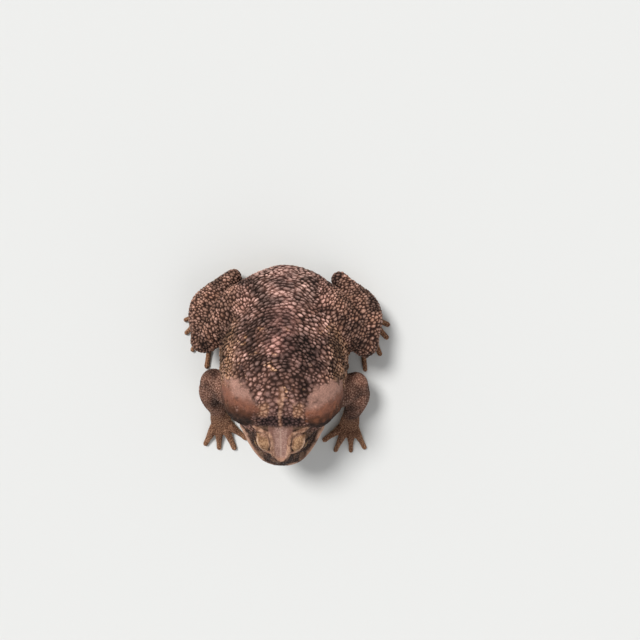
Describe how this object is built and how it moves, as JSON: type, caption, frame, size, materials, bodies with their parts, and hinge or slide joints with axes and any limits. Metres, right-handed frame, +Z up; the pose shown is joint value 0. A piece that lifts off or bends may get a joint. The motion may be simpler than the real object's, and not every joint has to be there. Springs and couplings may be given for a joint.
{
  "type": "cane toad model",
  "caption": "Life-size still model of a sitting cane toad, with warty skin, ridged head, large shoulder glands, folded hind legs and webbed toes.",
  "frame": {"origin": "on the floor, under the middle of the belly's flat", "axes": "+X to the toad's left, -Y ahead of its snout, +Z up"},
  "size_m": [0.264, 0.2523, 0.1242],
  "materials": {
    "skin": "matt and warty, dark brown with paler warts",
    "gland": "smooth reddish brown with pores",
    "eardrum": "thin smooth skin",
    "eye": "wet gloss"
  },
  "bodies": {
    "root": {"torso": "skin", "head": "skin", "lower_jaw": "skin", "eye_left": "eye", "eye_right": "eye", "eardrum_left": "eardrum", "eardrum_right": "eardrum", "parotoid_gland_left": "gland", "parotoid_gland_right": "gland", "upper_arm_left": "skin", "upper_arm_right": "skin", "forearm_left": "skin", "forearm_right": "skin", "hand_left": "skin", "hand_right": "skin", "thigh_left": "skin", "thigh_right": "skin", "shank_left": "skin", "shank_right": "skin", "foot_left": "skin", "foot_right": "skin"}
  },
  "joints": []
}
